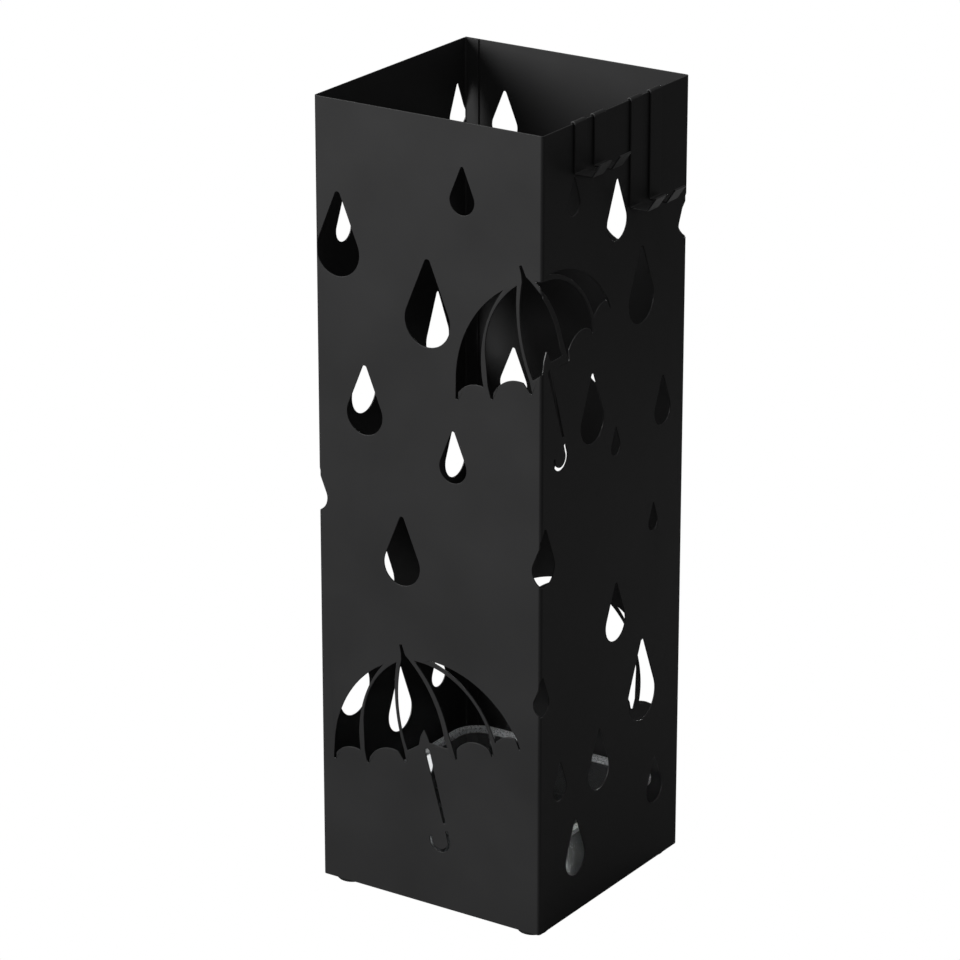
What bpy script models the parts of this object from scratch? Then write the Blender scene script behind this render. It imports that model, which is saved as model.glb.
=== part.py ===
"""Square umbrella stand: one folded steel sheet with raindrop and umbrella cut-outs, a welded base
pan on four push-in rubber feet, a clear lift-out drip tray, and four loose hooks over the rim.

Frame: metres, +Z up, the floor at Z = 0. The front wall faces -Y, and the hooks hang on the right
wall, which faces +X. Every piece is modelled about the middle of the shell, and an empty there sets
the origin under the middle of the stand with its hooks.
"""
import math

import bmesh
import bpy
from mathutils import Vector
from mathutils.geometry import delaunay_2d_cdt

# Overall
WIDTH = 0.155                 # outside width and depth of the square shell
HEIGHT = 0.490                # floor to rim
FOOT_HEIGHT = 0.004           # the shell's lower edge above the floor
CONTACT_GAP = 0.0003          # left between pieces that touch

# Shell
SHEET = 0.0008                # steel sheet of the shell and the base pan
BEND_RADIUS = 0.002           # outside radius of the shell's corners
BEND_STEPS = 4                # flat facets round a shell corner
SEAM_FLAP = 0.010             # the flap inside the back wall that closes the shell
SEAM_FLAP_CLEARANCE = 0.003   # from the flap's foot up from the base pan's flange

# Base pan
PAN_FLANGE = 0.012            # height of the turned-up edges
PAN_CORNER_NOTCH = 0.004      # square notch that clears the shell's corners

# Feet
FOOT_INSET = 0.0125           # centre of a foot from the shell's two faces
FOOT_RADIUS = 0.0095
FOOT_FLAT_RADIUS = 0.0080     # flat underside that stands on the floor
FOOT_NECK_RADIUS = 0.0022
FOOT_HEAD_RADIUS = 0.0032
FOOT_HEAD_HEIGHT = 0.0022
FOOT_SHOULDER = (0.15, 0.6)   # where a foot's rounded edge starts and ends, over its height
FOOT_SIDES = 24

# Drip tray
TRAY_SIDE_GAP = 0.006         # tray rim to the shell's inside
TRAY_HEIGHT = 0.047
TRAY_WALL = 0.0015
TRAY_RIM = 0.003              # how far the rim turns out
TRAY_RIM_DEPTH = 0.003        # height of the rim's edge
TRAY_DRAFT = 0.0016           # how much each side leans in over the tray's height
TRAY_FOOT_CLEARANCE = 0.001   # tray corner to the head of a foot
TRAY_CORNER_STEPS = 5

# Hooks: folded strips that hang over the rim of the right wall
HOOK_STRIP = 0.001
HOOK_WIDTH = 0.0115
HOOK_INNER_LEG = 0.018
HOOK_REACH = 0.0122           # wall face to the start of the lip
HOOK_LIP_OUT = 0.0058
HOOK_LIP_UP = 0.0084
HOOK_BEND = 0.0010            # centre-line radius of a strip's bends
SHORT_HOOK = 0.0295           # rim to the underside of the hook
LONG_HOOK = 0.064
# name, centre of the strip from the front face, rim to underside
HOOKS = (
    ("hook_short_front", 0.0367, SHORT_HOOK),
    ("hook_short_rear", 0.0569, SHORT_HOOK),
    ("hook_long_front", 0.0957, LONG_HOOK),
    ("hook_long_rear", 0.1167, LONG_HOOK),
)

# Cut-outs. The pattern is drawn on walls of this size, and spreads with the shell's own size.
# Places are (distance along the wall from its left end seen from outside, height of the tip).
PATTERN_WALL = 0.155
PATTERN_HEIGHT = 0.486
DROP_ROUND = 0.295            # radius of a raindrop's round end over its length
DROP_POINT = 0.038            # radius of its point over its length
DROP_ROUND_STEPS = 10
DROP_POINT_STEPS = 2
SLOT_WIDTH = 0.0018           # the narrow slots of an umbrella's stick and handle
OUTLINE_STEP = 0.006          # longest straight run along an umbrella's curves

FRONT, RIGHT, BACK, LEFT = 0, 1, 2, 3
# wall: (along, tip height, length)
RAINDROPS = {
    FRONT: (
        (0.0157, 0.4315, 0.0505), (0.1012, 0.4600, 0.0282), (0.0774, 0.4020, 0.0525),
        (0.0334, 0.3303, 0.0423), (0.0947, 0.3022, 0.0315), (-0.0027, 0.2643, 0.0298),
        (0.0588, 0.2427, 0.0428),
    ),
    RIGHT: (
        (0.0042, 0.2540, 0.0355), (0.0022, 0.1632, 0.0245), (0.0320, 0.4553, 0.0228),
        (0.0780, 0.4428, 0.0365), (0.1535, 0.4153, 0.0266), (0.1053, 0.3963, 0.0472),
        (0.0535, 0.3333, 0.0424), (0.0790, 0.2936, 0.0178), (0.1305, 0.3105, 0.0308),
        (0.1218, 0.2336, 0.0179), (0.0813, 0.1960, 0.0368), (0.1116, 0.1498, 0.0520),
        (0.0643, 0.1094, 0.0392), (0.0218, 0.1032, 0.0244), (0.1278, 0.0684, 0.0308),
        (0.0393, 0.0605, 0.0360),
    ),
    BACK: (
        (0.1269, 0.4570, 0.0308), (0.0427, 0.4295, 0.0510), (0.1201, 0.2978, 0.0332),
        (0.0575, 0.3195, 0.0336), (0.0900, 0.4270, 0.0240), (0.1390, 0.3880, 0.0350),
        (0.0380, 0.2380, 0.0430), (0.0795, 0.2500, 0.0400), (0.1260, 0.2330, 0.0410),
    ),
    LEFT: (
        (0.0088, 0.4595, 0.0285), (0.1269, 0.4180, 0.0258), (0.0305, 0.3358, 0.0422),
        (0.1082, 0.3234, 0.0417), (0.0122, 0.2484, 0.0367), (0.0930, 0.2014, 0.0516),
        (0.1205, 0.1461, 0.0536), (0.0727, 0.1066, 0.0425), (0.0309, 0.1042, 0.0255),
        (0.0465, 0.0501, 0.0285), (0.0700, 0.4360, 0.0430), (0.0800, 0.3500, 0.0290),
        (0.0520, 0.2680, 0.0390), (0.1100, 0.2500, 0.0350), (0.0350, 0.1850, 0.0330),
    ),
}
# wall, along, height of the ferrule's tip, lean of the stick in degrees
UMBRELLAS = (
    (FRONT, 0.0573, 0.1631, 14.3),
    (FRONT, 0.1401, 0.4100, 17.8),
    (BACK, 0.0573, 0.1631, 14.3),
)

# An umbrella upright, with its ferrule's tip at (0, 0). Each outline starts at its first point.
# Each step after it is the next point, or (a point on the arc, the next point).
CANOPY_PANELS = (
    (
        (-0.0160, -0.0128),
        ((-0.0455, -0.0293), (-0.0645, -0.0592)),
        (-0.0681, -0.0700), (-0.0666, -0.0709), (-0.0652, -0.0668),
        ((-0.0558, -0.0634), (-0.0468, -0.0658)),
        ((-0.0390, -0.0390), (-0.0160, -0.0128)),
    ),
    (
        (-0.0059, -0.0115),
        ((-0.0275, -0.0252), (-0.0398, -0.0474)),
        (-0.0438, -0.0656), (-0.0440, -0.0728), (-0.0428, -0.0738), (-0.0410, -0.0700),
        ((-0.0297, -0.0645), (-0.0190, -0.0668)),
        (-0.0163, -0.0732), (-0.0148, -0.0738), (-0.0144, -0.0659),
        ((-0.0136, -0.0384), (-0.0059, -0.0115)),
    ),
    (
        (-0.0009, -0.0007), (0.0009, -0.0007), (0.0017, -0.0074),
        ((0.0133, -0.0310), (0.0166, -0.0600)),
        (0.0176, -0.0654),
        ((0.0113, -0.0638), (0.0053, -0.0619)),
        (0.0046, -0.0575), (0.0034, -0.0534), (-0.0002, -0.0575), (-0.0028, -0.0628),
        ((-0.0072, -0.0646), (-0.0120, -0.0661)),
        ((-0.0119, -0.0400), (-0.0020, -0.0101)),
        (-0.0012, -0.0061),
    ),
    (
        (0.0069, -0.0109),
        ((0.0158, -0.0292), (0.0202, -0.0550)),
        (0.0218, -0.0725), (0.0230, -0.0715), (0.0240, -0.0660),
        ((0.0360, -0.0617), (0.0472, -0.0664)),
        (0.0481, -0.0708), (0.0495, -0.0705), (0.0499, -0.0640),
        ((0.0377, -0.0295), (0.0069, -0.0109)),
    ),
    (
        (0.0188, -0.0113),
        ((0.0470, -0.0263), (0.0637, -0.0479)),
        (0.0686, -0.0593), (0.0699, -0.0668), (0.0688, -0.0668), (0.0676, -0.0600),
        ((0.0603, -0.0590), (0.0527, -0.0625)),
        ((0.0420, -0.0318), (0.0188, -0.0113)),
    ),
)
STICK_TOP = (0.0023, -0.0653)
STICK_TOP_WIDTH = 0.0034
STICK_FOOT = (0.0032, -0.1125)
HANDLE_TOP = (0.0035, -0.1172)
HANDLE_CENTRE = (-0.0029, -0.1229)
HANDLE_RADIUS = 0.0064
HANDLE_START = 10.0           # degrees round the handle's centre
HANDLE_SWEEP = -220.0
HANDLE_STEPS = 9

# Colours and finishes
BLACK_COAT = ((0.030, 0.030, 0.031, 1.0), 0.42, 0.0)
TRAY_CLEAR = ((0.80, 0.84, 0.86, 1.0), 0.12, 0.0)
FOOT_RUBBER = ((0.020, 0.020, 0.020, 1.0), 0.75, 0.0)

# Worked out from the sizes above
HALF = WIDTH / 2
WALL_HEIGHT = HEIGHT - FOOT_HEIGHT
LAP = SHEET + CONTACT_GAP                  # how far the seam flap steps in behind the back wall
PAN_HALF = HALF - SHEET - CONTACT_GAP
FOOT_CENTRE = HALF - FOOT_INSET
MIDDLE = "shell_middle"
MIDDLE_X = -(HOOK_REACH + HOOK_LIP_OUT) / 2


def clear_scene():
    for item in list(bpy.data.objects):
        bpy.data.objects.remove(item, do_unlink=True)


def make_material(name, finish):
    colour, roughness, metallic = finish
    material = bpy.data.materials.new(name)
    material.use_nodes = True
    shader = material.node_tree.nodes["Principled BSDF"]
    shader.inputs["Base Color"].default_value = colour
    shader.inputs["Roughness"].default_value = roughness
    shader.inputs["Metallic"].default_value = metallic
    return material


def add_middle():
    middle = bpy.data.objects.new(MIDDLE, None)
    middle.location.x = MIDDLE_X
    bpy.context.scene.collection.objects.link(middle)


def add_mesh(name, work):
    """Turns a bmesh into a named object under the middle and frees the bmesh."""
    mesh = bpy.data.meshes.new(name)
    bmesh.ops.recalc_face_normals(work, faces=work.faces)
    work.to_mesh(mesh)
    work.free()
    item = bpy.data.objects.new(name, mesh)
    item.parent = bpy.data.objects[MIDDLE]
    bpy.context.scene.collection.objects.link(item)
    return item


def add_object(name, work, material):
    item = add_mesh(name, work)
    item.data.materials.append(material)
    return item


# Outlines in the flat

def arc_through(start, middle, end, longest):
    """Points after start up to end on the circle through three points, none further apart than longest."""
    (ax, ay), (bx, by), (cx, cy) = start, middle, end
    twice_area = 2 * (ax * (by - cy) + bx * (cy - ay) + cx * (ay - by))
    a2, b2, c2 = ax * ax + ay * ay, bx * bx + by * by, cx * cx + cy * cy
    ox = (a2 * (by - cy) + b2 * (cy - ay) + c2 * (ay - by)) / twice_area
    oy = (a2 * (cx - bx) + b2 * (ax - cx) + c2 * (bx - ax)) / twice_area
    radius = math.hypot(ax - ox, ay - oy)
    first = math.atan2(ay - oy, ax - ox)
    sweep = math.atan2(cy - oy, cx - ox) - first
    if twice_area > 0:
        sweep = sweep % (2 * math.pi)
    else:
        sweep = -((-sweep) % (2 * math.pi))
    steps = max(2, math.ceil(abs(sweep) * radius / longest))
    angles = [first + sweep * step / steps for step in range(1, steps + 1)]
    return [(ox + radius * math.cos(angle), oy + radius * math.sin(angle)) for angle in angles]


def follow(steps, longest):
    """A closed outline from a first point and the straight or curved steps after it."""
    points = [steps[0]]
    for step in steps[1:]:
        if isinstance(step[0], tuple):
            points += arc_through(points[-1], step[0], step[1], longest)
        else:
            points.append(step)
    if math.dist(points[0], points[-1]) < CONTACT_GAP:
        points.pop()
    return points


def raindrop(length):
    """A drop hanging from (0, 0): a round end, a small round point, and the tangents between them."""
    round_radius = DROP_ROUND * length
    point_radius = DROP_POINT * length
    round_centre = round_radius - length
    lean = math.asin((round_radius - point_radius) / (-point_radius - round_centre))
    points = []
    for step in range(DROP_ROUND_STEPS + 1):
        angle = lean - (math.pi + 2 * lean) * step / DROP_ROUND_STEPS
        points.append((round_radius * math.cos(angle), round_centre + round_radius * math.sin(angle)))
    for step in range(DROP_POINT_STEPS + 1):
        angle = math.pi - lean - (math.pi - 2 * lean) * step / DROP_POINT_STEPS
        points.append((point_radius * math.cos(angle), point_radius * math.sin(angle) - point_radius))
    return points


def stick_slot():
    """The stick's slot: widest and rounded at the top, narrow at the foot."""
    (top_x, top_y), (foot_x, foot_y) = STICK_TOP, STICK_FOOT
    top, foot = STICK_TOP_WIDTH / 2, SLOT_WIDTH / 2
    return [
        (top_x - top, top_y - top), (foot_x - foot, foot_y + foot), (foot_x, foot_y),
        (foot_x + foot, foot_y + foot), (top_x + top, top_y - top), (top_x, top_y),
    ]


def handle_slot():
    """The crook: a short straight piece and a half turn, as one slot of even width."""
    centre_x, centre_y = HANDLE_CENTRE
    sides = []
    for radius in (HANDLE_RADIUS + SLOT_WIDTH / 2, HANDLE_RADIUS - SLOT_WIDTH / 2):
        turns = [HANDLE_START + HANDLE_SWEEP * step / HANDLE_STEPS for step in range(HANDLE_STEPS + 1)]
        angles = [math.radians(turn) for turn in turns]
        sides.append([(centre_x + radius * math.cos(a), centre_y + radius * math.sin(a)) for a in angles])
    outer, inner = sides
    top_x, top_y = HANDLE_TOP
    return [(top_x + SLOT_WIDTH / 2, top_y)] + outer + inner[::-1] + [(top_x - SLOT_WIDTH / 2, top_y)]


def umbrella():
    """The closed outlines of one upright umbrella."""
    panels = [follow(steps, OUTLINE_STEP) for steps in CANOPY_PANELS]
    return panels + [stick_slot(), handle_slot()]


def wall_start(wall):
    """Distance round the blank at the left end of a wall, seen from outside; the left wall comes first."""
    return -(WIDTH - LAP) if wall == LEFT else wall * WIDTH


def placed(outline, wall, along, height, lean=0.0):
    cosine, sine = math.cos(math.radians(lean)), math.sin(math.radians(lean))
    left = wall_start(wall) + along * WIDTH / PATTERN_WALL
    tip = height * WALL_HEIGHT / PATTERN_HEIGHT
    return [(left + x * cosine - y * sine, tip + x * sine + y * cosine) for x, y in outline]


def all_cutouts():
    cutouts = []
    for wall, drops in RAINDROPS.items():
        cutouts += [placed(raindrop(length), wall, along, height) for along, height, length in drops]
    for wall, along, height, lean in UMBRELLAS:
        cutouts += [placed(outline, wall, along, height, lean) for outline in umbrella()]
    return cutouts


def is_inside(point, outline):
    x, y = point
    inside = False
    for (ax, ay), (bx, by) in zip(outline, outline[1:] + outline[:1]):
        if (ay > y) != (by > y) and x < ax + (bx - ax) * (y - ay) / (by - ay):
            inside = not inside
    return inside


# The shell: a flat blank, triangulated and folded round the corners

def shell_corners():
    """The blank's ends and bends as (distance round the blank, outside corner in plan)."""
    seam = wall_start(LEFT)
    return [
        (seam - SEAM_FLAP, Vector((-HALF + SEAM_FLAP, HALF - LAP))),
        (seam, Vector((-HALF, HALF - LAP))),
        (0.0, Vector((-HALF, -HALF))),
        (WIDTH, Vector((HALF, -HALF))),
        (2 * WIDTH, Vector((HALF, HALF))),
        (3 * WIDTH, Vector((-HALF, HALF))),
    ]


def fold(distance, depth, corners):
    """Plan position of a point of the blank, depth below the outside face."""
    for before, (at, corner), after in zip(corners, corners[1:], corners[2:]):
        if abs(distance - at) < BEND_RADIUS:
            ahead = (corner - before[1]).normalized()
            turned = (after[1] - corner).normalized()
            centre = corner - ahead * BEND_RADIUS + turned * BEND_RADIUS
            angle = (distance - at + BEND_RADIUS) / (2 * BEND_RADIUS) * math.pi / 2
            out = -turned * math.cos(angle) + ahead * math.sin(angle)
            return centre + out * (BEND_RADIUS - depth)
    for (at, corner), (to, following) in zip(corners, corners[1:]):
        if distance <= to + BEND_RADIUS:
            ahead = (following - corner).normalized()
            inward = Vector((-ahead.y, ahead.x))
            return corner + ahead * (distance - at) + inward * depth
    return corners[-1][1]


def flat_blank(corners):
    """Triangles of the flat blank, without its cut-outs, as points and index triples."""
    start, seam, end = corners[0][0], corners[1][0], corners[-1][0]
    flap_foot = PAN_FLANGE + SEAM_FLAP_CLEARANCE
    outline = [
        (start, flap_foot), (seam - BEND_RADIUS, flap_foot), (seam - BEND_RADIUS, 0.0),
        (end, 0.0), (end, WALL_HEIGHT), (start, WALL_HEIGHT),
    ]
    cutouts = all_cutouts()
    points, edges = [], []
    for closed in [outline] + cutouts:
        first, count = len(points), len(closed)
        points += [Vector(point) for point in closed]
        edges += [(first + step, first + (step + 1) % count) for step in range(count)]
    for at, _ in corners[1:-1]:
        for step in range(BEND_STEPS + 1):
            line = at + BEND_RADIUS * (2 * step / BEND_STEPS - 1)
            edges.append((len(points), len(points) + 1))
            points += [Vector((line, 0.0)), Vector((line, WALL_HEIGHT))]
    points, _, triangles, *_ = delaunay_2d_cdt(points, edges, [], 0, 1e-7)
    kept = []
    for triangle in triangles:
        middle = sum((points[index] for index in triangle), Vector((0.0, 0.0))) / 3
        in_hole = any(is_inside(middle, cutout) for cutout in cutouts)
        if is_inside(middle, outline) and not in_hole:
            kept.append(triangle)
    return points, kept


def build_shell(material):
    corners = shell_corners()
    points, triangles = flat_blank(corners)
    work = bmesh.new()
    outer, inner = {}, {}
    for index in sorted({index for triangle in triangles for index in triangle}):
        distance, height = points[index]
        for side, depth in ((outer, 0.0), (inner, SHEET)):
            plan = fold(distance, depth, corners)
            side[index] = work.verts.new((plan.x, plan.y, FOOT_HEIGHT + height))
    edges = set()
    for a, b, c in triangles:
        work.faces.new((outer[a], outer[b], outer[c]))
        work.faces.new((inner[c], inner[b], inner[a]))
        edges |= {(a, b), (b, c), (c, a)}
    for a, b in sorted(edges):
        if (b, a) not in edges:
            work.faces.new((outer[b], outer[a], inner[a], inner[b]))
    return add_object("body_shell", work, material)


# Base pan and feet

def add_cut(item, name, work):
    """Cuts a bmesh out of an object, as a boolean with a hidden helper."""
    cutter = add_mesh(name, work)
    cutter.hide_render = True
    cutter.display_type = "WIRE"
    modifier = item.modifiers.new("Holes", "BOOLEAN")
    modifier.operation = "DIFFERENCE"
    modifier.object = cutter


def foot_places():
    for end, y in (("front", -FOOT_CENTRE), ("back", FOOT_CENTRE)):
        for side, x in (("left", -FOOT_CENTRE), ("right", FOOT_CENTRE)):
            yield f"foot_{end}_{side}", x, y


def build_base_pan(material):
    """A plate with notched corners and four turned-up edges, holed for the feet."""
    floor, top = FOOT_HEIGHT, FOOT_HEIGHT + PAN_FLANGE
    notch = PAN_HALF - PAN_CORNER_NOTCH
    lines = [-PAN_HALF, -PAN_HALF + SHEET, -notch, notch, PAN_HALF - SHEET, PAN_HALF]
    work = bmesh.new()
    grid = [[work.verts.new((x, y, floor)) for y in lines] for x in lines]
    flanges = []
    for column in range(5):
        for row in range(5):
            if column != 2 and row != 2:
                continue
            corners = (grid[column][row], grid[column + 1][row], grid[column + 1][row + 1], grid[column][row + 1])
            face = work.faces.new(corners)
            if 0 in (column, row) or 4 in (column, row):
                flanges.append(face)
    bmesh.ops.delete(work, geom=[vert for vert in work.verts if not vert.link_faces], context="VERTS")
    plate = list(work.faces)
    upper = {}
    for face in plate:
        for vert in face.verts:
            upper.setdefault(vert, work.verts.new((vert.co.x, vert.co.y, floor + SHEET)))
    tops = {face: work.faces.new([upper[vert] for vert in face.verts]) for face in plate}
    for edge in [edge for edge in work.edges if len(edge.link_faces) == 1 and edge.link_faces[0] in plate]:
        start, end = edge.verts
        work.faces.new((start, end, upper[end], upper[start]))
    raised = bmesh.ops.extrude_face_region(work, geom=[tops[face] for face in flanges])
    for vert in [part for part in raised["geom"] if isinstance(part, bmesh.types.BMVert)]:
        vert.co.z = top
    bmesh.ops.delete(work, geom=[tops[face] for face in flanges], context="FACES")
    pan = add_object("base_pan", work, material)
    holes = bmesh.new()
    for _, x, y in foot_places():
        add_turned(holes, [
            (0.0, floor - SHEET), (FOOT_NECK_RADIUS + CONTACT_GAP, floor - SHEET),
            (FOOT_NECK_RADIUS + CONTACT_GAP, floor + 2 * SHEET), (0.0, floor + 2 * SHEET),
        ], x, y, FOOT_SIDES)
    add_cut(pan, "foot_hole_cutters", holes)
    return pan


def add_turned(work, profile, x, y, sides):
    """A solid of revolution about the vertical through (x, y) from (radius, height) points."""
    rings = []
    for radius, height in profile:
        if radius == 0.0:
            rings.append([work.verts.new((x, y, height))])
            continue
        turns = [2 * math.pi * side / sides for side in range(sides)]
        rings.append([work.verts.new((x + radius * math.cos(a), y + radius * math.sin(a), height)) for a in turns])
    for low, high in zip(rings, rings[1:]):
        for side in range(sides):
            following = (side + 1) % sides
            corners = [low[side % len(low)], low[following % len(low)]]
            corners += [high[following % len(high)], high[side % len(high)]]
            work.faces.new(list(dict.fromkeys(corners)))


def build_foot(name, x, y, material):
    """A rubber dome below the pan, a neck through its hole, and a head that snaps in above."""
    seat = FOOT_HEIGHT - CONTACT_GAP
    head = FOOT_HEIGHT + SHEET + CONTACT_GAP
    shoulder = (FOOT_RADIUS + FOOT_FLAT_RADIUS) / 2
    low, high = (seat * part for part in FOOT_SHOULDER)
    profile = [
        (0.0, 0.0), (FOOT_FLAT_RADIUS, 0.0), (shoulder, low), (FOOT_RADIUS, high),
        (FOOT_RADIUS, seat), (FOOT_NECK_RADIUS, seat), (FOOT_NECK_RADIUS, head),
        (FOOT_HEAD_RADIUS, head), (FOOT_NECK_RADIUS, head + FOOT_HEAD_HEIGHT), (0.0, head + FOOT_HEAD_HEIGHT),
    ]
    work = bmesh.new()
    add_turned(work, profile, 0.0, 0.0, FOOT_SIDES)
    foot = add_object(name, work, material)
    foot.location = (x, y, 0.0)
    return foot


# Drip tray

def rounded_square(half, radius, height):
    points = []
    for quarter in range(4):
        centre_angle = math.pi / 4 + quarter * math.pi / 2
        cx = math.copysign(half - radius, math.cos(centre_angle))
        cy = math.copysign(half - radius, math.sin(centre_angle))
        for step in range(TRAY_CORNER_STEPS + 1):
            angle = quarter * math.pi / 2 + math.pi / 2 * step / TRAY_CORNER_STEPS
            points.append((cx + radius * math.cos(angle), cy + radius * math.sin(angle), height))
    return points


def build_tray(material):
    """An open tray with leaning sides and a turned-out rim, whose corners clear the feet's heads."""
    floor = FOOT_HEIGHT + SHEET + CONTACT_GAP
    top = floor + TRAY_HEIGHT
    rim = HALF - SHEET - TRAY_SIDE_GAP
    side = rim - TRAY_RIM
    foot = side - TRAY_DRAFT
    diagonal = math.sqrt(2)
    corner = (diagonal * (foot - FOOT_CENTRE) + FOOT_HEAD_RADIUS + TRAY_FOOT_CLEARANCE) / (diagonal - 1)
    loops = [
        rounded_square(foot, corner, floor),
        rounded_square(side, corner, top - TRAY_RIM_DEPTH),
        rounded_square(rim, corner + TRAY_RIM, top - TRAY_RIM_DEPTH),
        rounded_square(rim, corner + TRAY_RIM, top),
        rounded_square(side - TRAY_WALL, corner - TRAY_WALL, top),
        rounded_square(foot - TRAY_WALL, corner - TRAY_WALL, floor + TRAY_WALL),
    ]
    work = bmesh.new()
    rings = [[work.verts.new(point) for point in loop] for loop in loops]
    work.faces.new(rings[0][::-1])
    work.faces.new(rings[-1])
    count = len(rings[0])
    for low, high in zip(rings, rings[1:]):
        for step in range(count):
            following = (step + 1) % count
            work.faces.new((low[step], low[following], high[following], high[step]))
    return add_object("drip_tray", work, material)


# Hooks

def rounded_path(points, radius, steps=3):
    """The same path with each inner corner replaced by a short arc."""
    path = [points[0]]
    for before, corner, after in zip(points, points[1:], points[2:]):
        arriving = (corner - before).normalized()
        leaving = (after - corner).normalized()
        turn = arriving.angle_signed(leaving)
        cut = radius * math.tan(abs(turn) / 2)
        side = Vector((-arriving.y, arriving.x)) * (-1 if turn > 0 else 1)
        centre = corner - arriving * cut + side * radius
        for step in range(steps + 1):
            angle = -turn * step / steps
            cosine, sine = math.cos(angle), math.sin(angle)
            spoke = -side * radius
            path.append(centre + Vector((spoke.x * cosine - spoke.y * sine, spoke.x * sine + spoke.y * cosine)))
    return path + [points[-1]]


def strip_outline(path, thickness):
    """The closed outline of a strip of even thickness along a path."""
    left, right = [], []
    for index, point in enumerate(path):
        arriving = (point - path[max(index - 1, 0)]).normalized()
        leaving = (path[min(index + 1, len(path) - 1)] - point).normalized()
        along = (arriving + leaving).normalized()
        reach = thickness / 2 / max(along.dot(arriving), along.dot(leaving))
        offset = Vector((-along.y, along.x)) * reach
        left.append(point + offset)
        right.append(point - offset)
    return left + right[::-1]


def build_hook(name, centre, drop, material):
    """A strip: short leg inside, fold over the rim, leg outside, a step out, and a raised lip."""
    middle = HOOK_STRIP / 2
    inside = HALF - SHEET - CONTACT_GAP - middle
    outside = HALF + CONTACT_GAP + middle
    over = HEIGHT + CONTACT_GAP + middle
    under = HEIGHT - drop + middle
    corner_x = HALF + HOOK_REACH
    path = rounded_path([
        Vector((inside, HEIGHT - HOOK_INNER_LEG)), Vector((inside, over)), Vector((outside, over)),
        Vector((outside, under)), Vector((corner_x, under)),
        Vector((corner_x + HOOK_LIP_OUT, under + HOOK_LIP_UP)),
    ], HOOK_BEND)
    front = centre - HALF - HOOK_WIDTH / 2
    outline = strip_outline(path, HOOK_STRIP)
    work = bmesh.new()
    near = [work.verts.new((x, front, z)) for x, z in outline]
    far = [work.verts.new((x, front + HOOK_WIDTH, z)) for x, z in outline]
    work.faces.new(near)
    work.faces.new(far[::-1])
    count = len(outline)
    for step in range(count):
        following = (step + 1) % count
        work.faces.new((near[step], near[following], far[following], far[step]))
    return add_object(name, work, material)


def main():
    clear_scene()
    add_middle()
    coat = make_material("black_powder_coat", BLACK_COAT)
    rubber = make_material("foot_rubber", FOOT_RUBBER)
    build_shell(coat)
    build_base_pan(coat)
    for name, x, y in foot_places():
        build_foot(name, x, y, rubber)
    build_tray(make_material("clear_plastic", TRAY_CLEAR))
    for name, centre, drop in HOOKS:
        build_hook(name, centre, drop, coat)


main()
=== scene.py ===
"""Umbrella stand: fine pieces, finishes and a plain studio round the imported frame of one."""
import math

import bmesh
import bpy
from mathutils import Matrix, Vector


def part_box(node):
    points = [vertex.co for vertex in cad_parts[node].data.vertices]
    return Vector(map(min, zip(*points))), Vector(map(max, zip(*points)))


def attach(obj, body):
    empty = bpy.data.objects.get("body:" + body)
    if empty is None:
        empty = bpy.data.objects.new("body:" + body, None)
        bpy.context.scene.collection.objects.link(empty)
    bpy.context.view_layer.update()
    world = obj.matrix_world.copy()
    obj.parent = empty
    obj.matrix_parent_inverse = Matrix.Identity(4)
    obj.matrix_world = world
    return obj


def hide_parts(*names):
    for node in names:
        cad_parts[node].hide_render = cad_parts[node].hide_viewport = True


bl_info = {
    "name": "Umbrella Stand",
    "version": (1, 0, 0),
    "blender": (4, 5, 0),
    "location": "View3D > Sidebar > Umbrella Stand",
    "description": "Builds a folded sheet-steel umbrella stand with its tray, hooks, feet and a studio",
    "category": "Add Mesh",
}

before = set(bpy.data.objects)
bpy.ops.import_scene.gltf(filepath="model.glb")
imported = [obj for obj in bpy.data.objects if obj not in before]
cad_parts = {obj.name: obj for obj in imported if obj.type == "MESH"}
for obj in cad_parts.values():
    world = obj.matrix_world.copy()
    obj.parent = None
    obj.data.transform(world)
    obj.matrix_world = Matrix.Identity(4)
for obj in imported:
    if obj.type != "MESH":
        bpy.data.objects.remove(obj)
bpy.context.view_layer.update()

# Sizes read from the frame
SHELL_LOW, SHELL_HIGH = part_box("body_shell")
PAN_LOW, PAN_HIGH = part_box("base_pan")
TRAY_LOW, TRAY_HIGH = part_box("drip_tray")
FOOT_LOW, FOOT_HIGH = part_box("foot_front_left")
MIDDLE = Vector(((SHELL_LOW.x + SHELL_HIGH.x) / 2, 0.0, 0.0))
WIDTH = SHELL_HIGH.y - SHELL_LOW.y
HALF = WIDTH / 2
BOTTOM = SHELL_LOW.z
RIM = SHELL_HIGH.z
WALL_HEIGHT = RIM - BOTTOM
GAP = 0.0003                  # left between pieces that touch
FEET = ("foot_front_left", "foot_front_right", "foot_back_left", "foot_back_right")
HOOKS = ("hook_short_front", "hook_short_rear", "hook_long_front", "hook_long_rear")

SAME_PLACE = 1e-5             # points closer than this are taken as one
MERGE = 1e-6                  # doubles closer than this are merged
SQUARE = 90.0                 # degrees that the sheet turns at a square fold
SOFT_ANGLE = 40.0             # degrees past which an edge is rounded, and a foot is shaded sharp
SMOOTH_ANGLE = 50.0           # degrees up to which a piece is shaded smooth
CUT_OUT = 0.002               # how far a cutter stands out from the wall's face
BEND_CUT = 0.65               # how deep an opening goes at a bend, over the bend's radius
TRAY_EDGE = 0.0005            # rounding of the tray's edges
INNER_FILLET = 0.6            # part of the tray's wall that its inner fillet is smaller by
HOOK_EDGE = 1.2               # rounding of a hook's edges over that of the sheet's

# The feet's section
FOOT_STEPS = 6                # straight runs along the round shoulder
FOOT_SHOULDER = 0.6           # height of the shoulder over that of the seat
FOOT_LIFT = 0.00005           # from the floor up to the start of the shoulder
FOOT_CHAMFER = 0.0003         # taken off the sharp corners
FOOT_LIP = 0.0002             # upright edge of the head, and of the neck's end

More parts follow.
